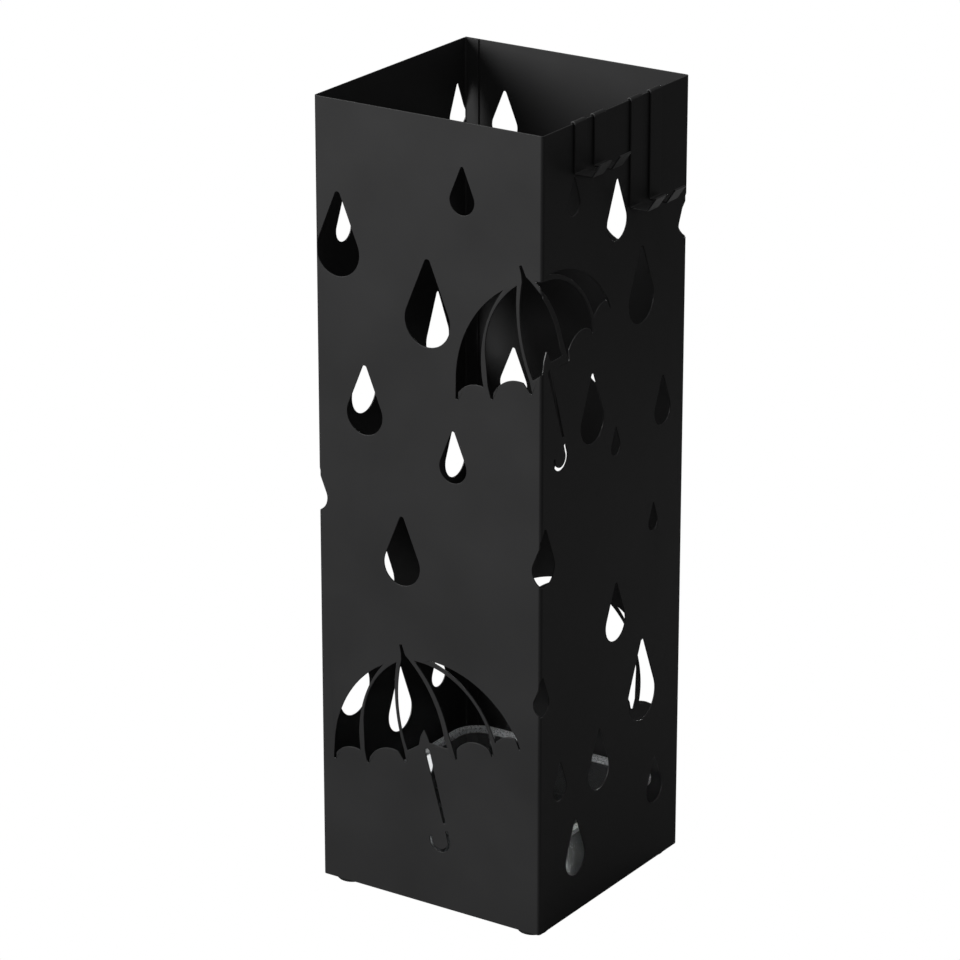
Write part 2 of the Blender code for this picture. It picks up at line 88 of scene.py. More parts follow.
# The tray's frosted rim
FROST_LOW = 0.0036            # where the frost starts, below the top
FROST_HIGH = 0.0030           # where it is full, below the top
FROST_ROUGHNESS = 0.25        # how much rougher it makes the plastic

# Lights: the setting that holds the power, diameter, place and aim
LIGHTS = {
    "Key": ("key", 4.4, (-4.8, -6.0, 2.9), (0.0, 0.0, 0.25)),
    "Overhead": ("overhead", 1.0, (0.1, -0.4, 2.2), (0.0, 0.0, 0.4)),
    "Rear": ("rear", 0.4, (-0.15, 0.75, 0.45), (-0.10, 0.65, 0.0)),
}

FRONT, RIGHT, BACK, LEFT = 0, 1, 2, 3

# Raindrops by wall: (distance along the wall from its left end seen from outside, height of the tip,
# length). The heights are those on a wall of PATTERN_HEIGHT.
PATTERN_HEIGHT = 0.486
RAINDROPS = {
    FRONT: (
        (0.0157, 0.4315, 0.0505), (0.1012, 0.4600, 0.0282), (0.0774, 0.4020, 0.0525),
        (0.0334, 0.3303, 0.0423), (0.0947, 0.3022, 0.0315), (-0.0027, 0.2643, 0.0298),
        (0.0588, 0.2427, 0.0428),
    ),
    RIGHT: (
        (0.0042, 0.2540, 0.0355), (0.0022, 0.1632, 0.0245), (0.0320, 0.4553, 0.0228),
        (0.0780, 0.4428, 0.0365), (0.1535, 0.4153, 0.0266), (0.1053, 0.3963, 0.0472),
        (0.0535, 0.3333, 0.0424), (0.0790, 0.2936, 0.0178), (0.1305, 0.3105, 0.0308),
        (0.1218, 0.2336, 0.0179), (0.0813, 0.1960, 0.0368), (0.1116, 0.1498, 0.0520),
        (0.0643, 0.1094, 0.0392), (0.0218, 0.1032, 0.0244), (0.1278, 0.0684, 0.0308),
        (0.0393, 0.0605, 0.0360),
    ),
    BACK: (
        (0.1269, 0.4570, 0.0308), (0.0427, 0.4295, 0.0510), (0.1201, 0.2978, 0.0332),
        (0.0575, 0.3195, 0.0336), (0.0900, 0.4270, 0.0240), (0.1390, 0.3880, 0.0350),
        (0.0380, 0.2380, 0.0430), (0.0795, 0.2500, 0.0400), (0.1260, 0.2330, 0.0410),
    ),
    LEFT: (
        (0.0088, 0.4595, 0.0285), (0.1269, 0.4180, 0.0258), (0.0305, 0.3358, 0.0422),
        (0.1082, 0.3234, 0.0417), (0.0122, 0.2484, 0.0367), (0.0930, 0.2014, 0.0516),
        (0.1205, 0.1461, 0.0536), (0.0727, 0.1066, 0.0425), (0.0309, 0.1042, 0.0255),
        (0.0465, 0.0501, 0.0285), (0.0700, 0.4360, 0.0430), (0.0800, 0.3500, 0.0290),
        (0.0520, 0.2680, 0.0390), (0.1100, 0.2500, 0.0350), (0.0350, 0.1850, 0.0330),
    ),
}
# Umbrellas: (wall, distance along it, height of the ferrule's tip, lean of the stick in degrees)
UMBRELLAS = (
    (FRONT, 0.0573, 0.1631, 14.3),
    (FRONT, 0.1401, 0.4100, 17.8),
    (BACK, 0.0573, 0.1631, 14.3),
)
UMBRELLA_REACH = 0.072        # furthest that an umbrella goes to either side of its ferrule

# An umbrella upright, its ferrule's tip at (0, 0). Each step after an outline's first point is the
# next point, or (a point on the arc, the next point).
CANOPY_PANELS = (
    (
        (-0.0160, -0.0128),
        ((-0.0455, -0.0293), (-0.0645, -0.0592)),
        (-0.0681, -0.0700), (-0.0666, -0.0709), (-0.0652, -0.0668),
        ((-0.0558, -0.0634), (-0.0468, -0.0658)),
        ((-0.0390, -0.0390), (-0.0160, -0.0128)),
    ),
    (
        (-0.0059, -0.0115),
        ((-0.0275, -0.0252), (-0.0398, -0.0474)),
        (-0.0438, -0.0656), (-0.0440, -0.0728), (-0.0428, -0.0738), (-0.0410, -0.0700),
        ((-0.0297, -0.0645), (-0.0190, -0.0668)),
        (-0.0163, -0.0732), (-0.0148, -0.0738), (-0.0144, -0.0659),
        ((-0.0136, -0.0384), (-0.0059, -0.0115)),
    ),
    (
        (-0.0009, -0.0007), (0.0009, -0.0007), (0.0017, -0.0074),
        ((0.0133, -0.0310), (0.0166, -0.0600)),
        (0.0176, -0.0654),
        ((0.0113, -0.0638), (0.0053, -0.0619)),
        (0.0046, -0.0575), (0.0034, -0.0534), (-0.0002, -0.0575), (-0.0028, -0.0628),
        ((-0.0072, -0.0646), (-0.0120, -0.0661)),
        ((-0.0119, -0.0400), (-0.0020, -0.0101)),
        (-0.0012, -0.0061),
    ),
    (
        (0.0069, -0.0109),
        ((0.0158, -0.0292), (0.0202, -0.0550)),
        (0.0218, -0.0725), (0.0230, -0.0715), (0.0240, -0.0660),
        ((0.0360, -0.0617), (0.0472, -0.0664)),
        (0.0481, -0.0708), (0.0495, -0.0705), (0.0499, -0.0640),
        ((0.0377, -0.0295), (0.0069, -0.0109)),
    ),
    (
        (0.0188, -0.0113),
        ((0.0470, -0.0263), (0.0637, -0.0479)),
        (0.0686, -0.0593), (0.0699, -0.0668), (0.0688, -0.0668), (0.0676, -0.0600),
        ((0.0603, -0.0590), (0.0527, -0.0625)),
        ((0.0420, -0.0318), (0.0188, -0.0113)),
    ),
)
STICK_TOP = (0.0023, -0.0653)
STICK_FOOT = (0.0032, -0.1125)
HANDLE_TOP = (0.0035, -0.1172)
HANDLE_CENTRE = (-0.0029, -0.1229)
HANDLE_START = 10.0           # degrees round the centre at which the crook starts
HANDLE_SWEEP = -220.0         # degrees that it turns through


# Editing helpers

def select_only(item):
    bpy.ops.object.select_all(action="DESELECT")
    item.select_set(True)
    bpy.context.view_layer.objects.active = item


def edit(item):
    select_only(item)
    bpy.ops.object.mode_set(mode="EDIT")


def leave():
    bpy.ops.object.mode_set(mode="OBJECT")


def pick(kind, test):
    """In edit mode, selects only the vertices, edges or faces that pass a test."""
    bpy.ops.mesh.select_mode(type=kind)
    bpy.ops.mesh.select_all(action="DESELECT")
    work = bmesh.from_edit_mesh(bpy.context.edit_object.data)
    parts = {"VERT": work.verts, "EDGE": work.edges, "FACE": work.faces}[kind]
    chosen = [part for part in parts if test(part)]
    if not chosen:
        raise RuntimeError(f"nothing to select on {bpy.context.edit_object.name}")
    for part in chosen:
        part.select_set(True)
    work.select_flush_mode()
    bmesh.update_edit_mesh(bpy.context.edit_object.data)


def new_name(name):
    item = bpy.context.view_layer.objects.active
    item.name = name
    item.data.name = name
    return item


def draw_chain(name, points):
    """A run of edges through points, drawn by extruding one vertex from place to place."""
    bpy.ops.object.select_all(action="DESELECT")
    bpy.ops.mesh.primitive_plane_add(size=0.01, location=points[0])
    item = new_name(name)
    bpy.ops.object.transform_apply(location=True, rotation=False, scale=False)
    edit(item)
    bpy.ops.mesh.select_mode(type="VERT")
    bpy.ops.mesh.select_all(action="SELECT")
    bpy.ops.mesh.merge(type="CENTER")
    for before, after in zip(points, points[1:]):
        bpy.ops.mesh.extrude_vertices_move(TRANSFORM_OT_translate={"value": Vector(after) - Vector(before)})
    leave()
    return item


def sweep_chain(item, way):
    """Extrudes a chain of edges into a strip of faces."""
    edit(item)
    bpy.ops.mesh.select_mode(type="EDGE")
    bpy.ops.mesh.select_all(action="SELECT")
    bpy.ops.mesh.extrude_edges_move(TRANSFORM_OT_translate={"value": way})
    leave()


def bevel_picked(offset, segments):
    """In edit mode, rounds the selected edges."""
    bpy.ops.mesh.bevel(offset_type="OFFSET", offset=offset, segments=segments, profile=0.5,
                       affect="EDGES", clamp_overlap=False)


def round_bends(item, corners, radius, segments, along):
    """Rounds the folds of a sheet to one radius. Each corner is (a point on the fold, degrees it turns)."""
    flat = [axis for axis in range(3) if not along[axis]]
    for corner, turn in corners:
        edit(item)
        pick("EDGE", lambda edge: all(
            abs(vert.co[axis] - Vector(corner)[axis]) < SAME_PLACE for vert in edge.verts for axis in flat))
        bevel_picked(radius * math.tan(math.radians(turn) / 2), segments)
        leave()


def apply_all(item):
    select_only(item)
    for modifier in list(item.modifiers):
        bpy.ops.object.modifier_apply(modifier=modifier.name)


def thicken(item, thickness, side):
    solid = item.modifiers.new("Thickness", "SOLIDIFY")
    solid.thickness = thickness
    solid.offset = side
    solid.use_even_offset = True
    apply_all(item)


def cut_with(item, cutter):
    hole = item.modifiers.new("Cut", "BOOLEAN")
    hole.operation = "DIFFERENCE"
    hole.solver = "EXACT"
    hole.object = cutter
    apply_all(item)
    bpy.data.objects.remove(cutter, do_unlink=True)


def soften_edges(item, width, segments=2):
    """Rounds every sharp edge a little, and keeps flat faces flat in their shading."""
    edit(item)
    bpy.ops.mesh.select_all(action="SELECT")
    bpy.ops.mesh.quads_convert_to_tris(quad_method="BEAUTY", ngon_method="BEAUTY")
    leave()
    bevel = item.modifiers.new("Soft edges", "BEVEL")
    bevel.width = width
    bevel.segments = segments
    bevel.limit_method = "ANGLE"
    bevel.angle_limit = math.radians(SOFT_ANGLE)
    bevel.use_clamp_overlap = False
    bevel.miter_outer = "MITER_ARC"
    apply_all(item)
    select_only(item)
    bpy.ops.object.shade_smooth_by_angle(angle=math.radians(SMOOTH_ANGLE))
    weighted = item.modifiers.new("Flat faces stay flat", "WEIGHTED_NORMAL")
    weighted.weight = 100
    weighted.keep_sharp = True
    apply_all(item)


def place_apply(item):
    select_only(item)
    bpy.ops.object.transform_apply(location=True, rotation=True, scale=True)


def normals_out(item):
    edit(item)
    bpy.ops.mesh.select_all(action="SELECT")
    bpy.ops.mesh.remove_doubles(threshold=MERGE)
    bpy.ops.mesh.normals_make_consistent(inside=False)
    leave()


def give(item, material, body, nodes):
    """Puts the finish on a piece, and lets it ride on its body in place of its frame nodes."""
    item.data.materials.clear()
    item.data.materials.append(material)
    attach(item, body)
    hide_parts(*nodes)


# Node helpers

def start_material(name):
    old = bpy.data.materials.get(name)
    if old:
        return old, None, None
    material = bpy.data.materials.new(name)
    material.use_nodes = True
    return material, material.node_tree, material.node_tree.nodes["Principled BSDF"]


def add_node(tree, kind, name, place, **values):
    node = tree.nodes.new(kind)
    node.name = node.label = name
    node.location = place
    for key, value in values.items():
        setattr(node, key, value)
    return node


def noise(tree, name, place, coordinates, scale, detail, roughness=0.5):
    node = add_node(tree, "ShaderNodeTexNoise", name, place)
    node.inputs["Scale"].default_value = scale
    node.inputs["Detail"].default_value = detail
    node.inputs["Roughness"].default_value = roughness
    tree.links.new(coordinates, node.inputs["Vector"])
    return node.outputs["Fac"]


def to_range(tree, name, place, value, low, high, source_low=0.0, source_high=1.0):
    node = add_node(tree, "ShaderNodeMapRange", name, place)
    node.inputs["From Min"].default_value = source_low
    node.inputs["From Max"].default_value = source_high
    node.inputs["To Min"].default_value = low
    node.inputs["To Max"].default_value = high
    tree.links.new(value, node.inputs["Value"])
    return node.outputs["Result"]


def shade(colour, factor):
    """A setting's colour made darker or lighter, for a colour socket."""
    return [channel * factor for channel in colour[:3]] + [1.0]


def mix_colours(tree, name, place, factor, first, second):
    node = add_node(tree, "ShaderNodeMix", name, place, data_type="RGBA")
    tree.links.new(factor, node.inputs["Factor"])
    node.inputs["A"].default_value = first
    node.inputs["B"].default_value = second
    return node.outputs["Result"]


def bump(tree, name, place, height, strength, distance, under=None):
    node = add_node(tree, "ShaderNodeBump", name, place)
    node.inputs["Strength"].default_value = strength
    node.inputs["Distance"].default_value = distance
    tree.links.new(height, node.inputs["Height"])
    if under is not None:
        tree.links.new(under, node.inputs["Normal"])
    return node.outputs["Normal"]


# Finishes

def powder_coat(finish):
    """Satin black powder coat: fine orange peel on slightly wavy sheet, with faint variation of sheen."""
    material, tree, shader = start_material("Black powder coat")
    if tree is None:
        return material
    place = add_node(tree, "ShaderNodeTexCoord", "Place", (-1400, 0)).outputs["Object"]
    cloud = noise(tree, "Uneven film", (-1100, 300), place, scale=14.0, detail=3.0)
    speckle = noise(tree, "Powder grain", (-1100, 0), place, scale=2400.0, detail=2.0)
    peel = noise(tree, "Orange peel", (-1100, -300), place, scale=620.0, detail=2.0)
    wave = noise(tree, "Wavy sheet", (-1100, -600), place, scale=9.0, detail=1.0)
    colour = mix_colours(tree, "Film colour", (-500, 400), cloud, shade(finish.coat, 0.82),
                         shade(finish.coat, 1.18))
    tree.links.new(colour, shader.inputs["Base Color"])
    spread = 0.035
    sheen_range = to_range(tree, "Sheen", (-700, 150), cloud, finish.coat_roughness - spread,
                           finish.coat_roughness + spread, source_low=0.3, source_high=0.7)
    grain = to_range(tree, "Grain sheen", (-700, -50), speckle, low=-0.03, high=0.03,
                     source_low=0.3, source_high=0.7)
    total = add_node(tree, "ShaderNodeMath", "Sheen and grain", (-450, 100), operation="ADD")
    tree.links.new(sheen_range, total.inputs[0])
    tree.links.new(grain, total.inputs[1])
    tree.links.new(total.outputs["Value"], shader.inputs["Roughness"])
    waves = bump(tree, "Sheet waves", (-700, -600), wave, strength=0.25, distance=0.004)
    peeled = bump(tree, "Peel", (-450, -400), peel, strength=0.22, distance=0.00008, under=waves)
    grained = bump(tree, "Grain", (-200, -300), speckle, strength=0.12, distance=0.00004,
                   under=peeled)
    tree.links.new(grained, shader.inputs["Normal"])
    shader.inputs["Specular IOR Level"].default_value = 0.5
    shader.inputs["Metallic"].default_value = 0.0
    return material


def clear_plastic(finish):
    """Clear moulded plastic with faint flow marks and a few fine scuffs."""
    material, tree, shader = start_material("Clear plastic")
    if tree is None:
        return material
    place = add_node(tree, "ShaderNodeTexCoord", "Place", (-1100, 0)).outputs["Object"]
    flow = noise(tree, "Flow marks", (-800, 0), place, scale=22.0, detail=2.0)
    scuff = noise(tree, "Scuffs", (-800, -300), place, scale=900.0, detail=3.0, roughness=0.7)
    height = add_node(tree, "ShaderNodeSeparateXYZ", "Height", (-800, 300))
    tree.links.new(place, height.inputs["Vector"])
    rim = to_range(tree, "Frosted rim", (-500, 300), height.outputs["Z"], low=0.0, high=1.0,
                   source_low=TRAY_HIGH.z - FROST_LOW, source_high=TRAY_HIGH.z - FROST_HIGH)
    haze = to_range(tree, "Haze", (-500, 0), scuff, low=0.02, high=0.10, source_low=0.45,
                    source_high=0.75)
    rough = add_node(tree, "ShaderNodeMath", "Haze and frost", (-250, 100), operation="MULTIPLY_ADD")
    tree.links.new(rim, rough.inputs[0])
    rough.inputs[1].default_value = FROST_ROUGHNESS
    tree.links.new(haze, rough.inputs[2])
    tree.links.new(rough.outputs["Value"], shader.inputs["Roughness"])
    clear = to_range(tree, "Clearness", (-250, 350), rim, low=0.97, high=0.60)
    tree.links.new(clear, shader.inputs["Transmission Weight"])
    flowing = bump(tree, "Flow", (-500, -300), flow, strength=0.3, distance=0.001)
    tree.links.new(flowing, shader.inputs["Normal"])
    shader.inputs["Base Color"].default_value = (*finish.tray_tint[:3], 1.0)
    shader.inputs["IOR"].default_value = 1.5
    return material


def foot_rubber(finish):
    """Matt black rubber with a moulded grain."""
    material, tree, shader = start_material("Foot rubber")
    if tree is None:
        return material
    place = add_node(tree, "ShaderNodeTexCoord", "Place", (-1100, 0)).outputs["Object"]
    grain = noise(tree, "Moulded grain", (-800, 0), place, scale=1500.0, detail=3.0)
    bloom = noise(tree, "Bloom", (-800, 300), place, scale=120.0, detail=2.0)
    colour = mix_colours(tree, "Bloomed rubber", (-400, 300), bloom, shade(finish.rubber, 0.8),
                         shade(finish.rubber, 1.5))
    tree.links.new(colour, shader.inputs["Base Color"])
    dullness = to_range(tree, "Dullness", (-500, 0), grain, low=0.62, high=0.85)
    tree.links.new(dullness, shader.inputs["Roughness"])
    grained = bump(tree, "Grain", (-400, -300), grain, strength=0.3, distance=0.0001)
    tree.links.new(grained, shader.inputs["Normal"])
    shader.inputs["Specular IOR Level"].default_value = 0.35
    return material


# Cutters for the openings in the walls

def arc_through(start, middle, end, longest):
    """Points after start up to end on the circle through three points, none further apart than longest."""
    (ax, ay), (bx, by), (cx, cy) = start, middle, end
    twice_area = 2 * (ax * (by - cy) + bx * (cy - ay) + cx * (ay - by))
    a2, b2, c2 = ax * ax + ay * ay, bx * bx + by * by, cx * cx + cy * cy
    ox = (a2 * (by - cy) + b2 * (cy - ay) + c2 * (ay - by)) / twice_area
    oy = (a2 * (cx - bx) + b2 * (ax - cx) + c2 * (bx - ax)) / twice_area
    radius = math.hypot(ax - ox, ay - oy)
    first = math.atan2(ay - oy, ax - ox)
    sweep = math.atan2(cy - oy, cx - ox) - first
    if twice_area > 0:
        sweep = sweep % (2 * math.pi)
    else:
        sweep = -((-sweep) % (2 * math.pi))
    steps = max(2, math.ceil(abs(sweep) * radius / longest))
    angles = [first + sweep * step / steps for step in range(1, steps + 1)]
    return [(ox + radius * math.cos(angle), oy + radius * math.sin(angle)) for angle in angles]


def follow(steps, longest):
    points = [steps[0]]
    for step in steps[1:]:
        if isinstance(step[0], tuple):
            points += arc_through(points[-1], step[0], step[1], longest)
        else:
            points.append(step)
    if math.dist(points[0], points[-1]) < GAP:
        points.pop()
    return points


def stick_slot(sizes):
    (top_x, top_y), (foot_x, foot_y) = STICK_TOP, STICK_FOOT
    top, foot = sizes.stick_top / 2, sizes.slot / 2
    return follow([
        (top_x - top, top_y - top), (foot_x - foot, foot_y + foot),
        ((foot_x, foot_y), (foot_x + foot, foot_y + foot)),
        (top_x + top, top_y - top), ((top_x, top_y), (top_x - top, top_y - top)),
    ], sizes.outline_step)


def handle_slot(sizes):
    centre_x, centre_y = HANDLE_CENTRE
    first, sweep = math.radians(HANDLE_START), math.radians(HANDLE_SWEEP)
    sides = []
    for radius in (sizes.handle + sizes.slot / 2, sizes.handle - sizes.slot / 2):
        steps = math.ceil(abs(sweep) * radius / sizes.outline_step)
        angles = [first + sweep * step / steps for step in range(steps + 1)]
        sides.append([(centre_x + radius * math.cos(a), centre_y + radius * math.sin(a)) for a in angles])
    outer, inner = sides
    top_x, top_y = HANDLE_TOP
    return [(top_x + sizes.slot / 2, top_y)] + outer + inner[::-1] + [(top_x - sizes.slot / 2, top_y)]


def make_umbrella_cutter(sizes):
    """An upright umbrella's openings as prisms, one unit to each side of the wall's face."""
    outlines = [follow(steps, sizes.outline_step) for steps in CANOPY_PANELS]
    outlines += [stick_slot(sizes), handle_slot(sizes)]
    drawing = bpy.data.curves.new("umbrella_cutter", "CURVE")
    drawing.dimensions = "2D"
    drawing.fill_mode = "BOTH"
    drawing.extrude = 1.0
    for outline in outlines:
        spline = drawing.splines.new("POLY")
        spline.points.add(len(outline) - 1)
        for point, (x, y) in zip(spline.points, outline):
            point.co = (x, y, 0.0, 1.0)
        spline.use_cyclic_u = True
    item = bpy.data.objects.new("umbrella_cutter", drawing)
    bpy.context.scene.collection.objects.link(item)
    select_only(item)
    bpy.ops.object.convert(target="MESH")
    item = bpy.context.view_layer.objects.active
    item.rotation_euler.x = math.pi / 2
    place_apply(item)
    normals_out(item)
    return item


def make_drop_cutter(sizes):
    """A raindrop of length 1 hanging from the origin: the hull of a wide round rod and a thin one."""
    bpy.ops.object.select_all(action="DESELECT")
    bpy.ops.mesh.primitive_cylinder_add(
        vertices=64, radius=sizes.drop_round, depth=2.0, rotation=(math.pi / 2, 0.0, 0.0),
        location=(0.0, 0.0, sizes.drop_round - 1.0))
    item = new_name("drop_cutter")
    place_apply(item)
    edit(item)
    bpy.ops.mesh.select_all(action="DESELECT")
    bpy.ops.mesh.primitive_cylinder_add(
        vertices=24, radius=sizes.drop_point, depth=2.0, rotation=(math.pi / 2, 0.0, 0.0),
        location=(0.0, 0.0, -sizes.drop_point))
    bpy.ops.mesh.select_all(action="SELECT")
    bpy.ops.mesh.convex_hull()
    bpy.ops.mesh.select_all(action="SELECT")
    bpy.ops.mesh.dissolve_limited(angle_limit=math.radians(0.5))
    leave()
    return item


def wall_matrix(wall, sizes):
    """From (along the wall, into it, up) to the row's axes."""
    start = -HALF + (sizes.lap if wall == LEFT else 0.0)
    turn = Matrix.Rotation(wall * math.pi / 2, 4, "Z")
    return Matrix.Translation(MIDDLE) @ turn @ Matrix.Translation((start, -HALF, BOTTOM))


def wall_length(wall, sizes):
    return WIDTH - sizes.lap if wall == LEFT else WIDTH


def walls_reached(wall, along, reach, sizes):
    """(wall, distance along it, whether it touches a bend) for each wall that an opening is on."""
    length = wall_length(wall, sizes)
    low, high = along - reach, along + reach
    near_bend = low < sizes.bend or (high > length - sizes.bend and wall != BACK)
    found = [(wall, along, near_bend)]
    if high > length and wall != BACK:
        found.append(((wall + 1) % 4, along - length, True))
    if low < 0.0 and wall != LEFT:
        before = (wall - 1) % 4
        found.append((before, along + wall_length(before, sizes), True))
    return found


def make_wall_cutters(sizes):
    """One cutter for each wall, joined from copies of the raindrop and the umbrella."""
    drop, umbrella = make_drop_cutter(sizes), make_umbrella_cutter(sizes)
    wanted = {wall: [] for wall in (FRONT, RIGHT, BACK, LEFT)}
    for wall, drops in RAINDROPS.items():
        for along, height, length in drops:
            for reached, at, bent in walls_reached(wall, along, sizes.drop_round * length, sizes):
                wanted[reached].append((drop, at, height, length, 0.0, bent))
    for wall, along, height, lean in UMBRELLAS:
        for reached, at, bent in walls_reached(wall, along, UMBRELLA_REACH, sizes):
            wanted[reached].append((umbrella, at, height, 1.0, lean, bent and reached != BACK))
    cutters = []
    for wall, openings in wanted.items():
        copies = []
        for shape, along, height, size, lean, bent in openings:
            deep = sizes.bend * BEND_CUT if bent else (sizes.sheet + sizes.lap) / 2
            copy = bpy.data.objects.new(f"opening_{wall}", shape.data.copy())
            bpy.context.scene.collection.objects.link(copy)
            copy.matrix_world = (
                wall_matrix(wall, sizes)
                @ Matrix.Translation((along, (deep - CUT_OUT) / 2, height * WALL_HEIGHT / PATTERN_HEIGHT))
                @ Matrix.Rotation(-math.radians(lean), 4, "Y")
                @ Matrix.Diagonal((size, (deep + CUT_OUT) / 2, size, 1.0)))
            copies.append(copy)
        bpy.ops.object.select_all(action="DESELECT")
        for copy in copies:
            copy.select_set(True)
        bpy.context.view_layer.objects.active = copies[0]
        bpy.ops.object.transform_apply(location=True, rotation=True, scale=True)
        bpy.ops.object.join()
        cutters.append(bpy.context.view_layer.objects.active)
    for shape in (drop, umbrella):
        bpy.data.objects.remove(shape, do_unlink=True)
    return cutters


# Settings that a user would change

def measure(name, description, default):
    """A setting that is a length."""
    return bpy.props.FloatProperty(name=name, description=description, default=default,
                                   subtype="DISTANCE", unit="LENGTH")


class StandSizes(bpy.types.PropertyGroup):
    sheet: measure("Sheet", "Thickness of the steel sheet", 0.0008)
    bend: measure("Bend radius", "Outside radius of the shell's corners", 0.002)
    lap: measure("Seam step", "How far the seam flap steps in behind the back wall", 0.00085)
    flap: measure("Seam flap", "Width of the flap inside the back wall", 0.010)
    flap_foot: measure("Flap foot", "From the shell's lower edge up to the flap", 0.015)
    edge: measure("Coated edge", "Rounding that the coat gives to a cut edge", 0.00016)
    drop_round: bpy.props.FloatProperty(
        name="Drop roundness", description="Radius of a raindrop's round end over its length",
        default=0.295)
    drop_point: bpy.props.FloatProperty(
        name="Drop point", description="Radius of a raindrop's point over its length", default=0.038)
    slot: measure("Slot", "Width of the stick's and the handle's slots", 0.0018)
    stick_top: measure("Stick top", "Width of the stick's slot at its top", 0.0034)
    handle: measure("Handle radius", "Radius of the umbrella's crook", 0.0064)
    outline_step: measure("Outline step", "Longest straight run along a cut curve", 0.0007)
    strip: measure("Hook strip", "Thickness of a hook's strip", 0.001)
    strip_bend: measure("Hook bend", "Centre-line radius of a hook's bends", 0.001)
    tray_wall: measure("Tray wall", "Thickness of the tray", 0.0015)


class StandFinish(bpy.types.PropertyGroup):
    coat: bpy.props.FloatVectorProperty(
        name="Coat", description="Colour of the powder coat", default=(0.024, 0.024, 0.0245), size=3,
        subtype="COLOR", min=0.0, max=1.0)
    coat_roughness: bpy.props.FloatProperty(
        name="Coat roughness", description="How dull the powder coat is", default=0.42, min=0.0, max=1.0,
        subtype="FACTOR")
    tray_tint: bpy.props.FloatVectorProperty(
        name="Tray tint", description="Tint of the clear plastic", default=(0.95, 0.97, 0.98), size=3,
        subtype="COLOR", min=0.0, max=1.0)
    rubber: bpy.props.FloatVectorProperty(
        name="Rubber", description="Colour of the feet", default=(0.018, 0.018, 0.018), size=3,
        subtype="COLOR", min=0.0, max=1.0)


class StandStudio(bpy.types.PropertyGroup):
    azimuth: bpy.props.FloatProperty(
        name="Azimuth", description="Camera's turn round the stand from the front, in degrees",
        default=33.656)
    elevation: bpy.props.FloatProperty(
        name="Elevation", description="Camera's height above the horizon, in degrees", default=20.471)
    distance: measure("Distance", "Camera to the middle of the stand", 2.615)
    across: measure("Across", "How far the camera stands to the right of its aim", -0.0206)
    above: measure("Above", "How far the camera stands above its aim", 0.0057)
    lens: bpy.props.FloatProperty(
        name="Lens", description="Focal length in millimetres on a 36 mm sensor", default=166.55)
    key: bpy.props.FloatProperty(
        name="Key light", description="Power of the key light", default=540.0, subtype="POWER",
        unit="POWER")
    overhead: bpy.props.FloatProperty(
        name="Overhead light", description="Power of the light above the stand", default=7.0,
        subtype="POWER", unit="POWER")
    rear: bpy.props.FloatProperty(
        name="Rear light", description="Power of the light on the floor behind the stand", default=4.5,
        subtype="POWER", unit="POWER")
    reflected_floor: bpy.props.FloatProperty(
        name="Floor in reflections", description="How bright the floor is where the stand mirrors it",
        default=0.13, min=0.0, max=1.0, subtype="FACTOR")
    surround: bpy.props.FloatProperty(
        name="Surround", description="Brightness of the room's surround on the stand", default=0.15,
        min=0.0, max=10.0)


class STAND_OT_shell(bpy.types.Operator):
    """Fold the shell from one sheet and cut its raindrops and umbrellas"""
    bl_idname = "umbrella_stand.shell"
    bl_label = "Shell"
    bl_options = {"REGISTER", "UNDO"}

    def execute(self, context):
        sizes = context.scene.stand_sizes
        seam = HALF - sizes.lap
        plan = [(-HALF + sizes.flap, seam), (-HALF, seam), (-HALF, -HALF), (HALF, -HALF), (HALF, HALF),
                (-HALF, HALF)]
        points = [MIDDLE + Vector((x, y, BOTTOM)) for x, y in plan]
        shell = draw_chain("shell", points)
        sweep_chain(shell, (0.0, 0.0, WALL_HEIGHT))
        corners = [(point, SQUARE) for point in points[1:-1]]
        round_bends(shell, corners, sizes.bend, segments=8, along=(0, 0, 1))
        thicken(shell, sizes.sheet, self.inward(shell))
        normals_out(shell)
        for cutter in make_wall_cutters(sizes):
            cut_with(shell, cutter)
        self.shorten_flap(shell, sizes)
        soften_edges(shell, sizes.edge)
        give(shell, powder_coat(context.scene.stand_finish), "stand", ["body_shell"])
        return {"FINISHED"}

    def inward(self, shell):
        """The side that the sheet thickens to, by which way the first wall's face points."""
        face = max(shell.data.polygons, key=lambda polygon: polygon.area)
        outward = face.normal.dot(face.center - MIDDLE - Vector((0.0, 0.0, face.center.z))) > 0.0
        return -1.0 if outward else 1.0

    def shorten_flap(self, shell, sizes):
        """Cuts the flap's foot away above the base pan's edge."""
        inside = HALF - (sizes.sheet + sizes.lap) / 2
        deep = sizes.sheet + GAP
        low_x, high_x = -HALF + sizes.bend, -HALF + sizes.flap + GAP
        high_z = BOTTOM + sizes.flap_foot
        low_z = BOTTOM - GAP
        bpy.ops.object.select_all(action="DESELECT")
        bpy.ops.mesh.primitive_cube_add(
            size=1.0, scale=(high_x - low_x, deep, high_z - low_z),
            location=MIDDLE + Vector(((low_x + high_x) / 2, inside - deep / 2, (low_z + high_z) / 2)))
        cutter = new_name("flap_cutter")
        place_apply(cutter)
        cut_with(shell, cutter)


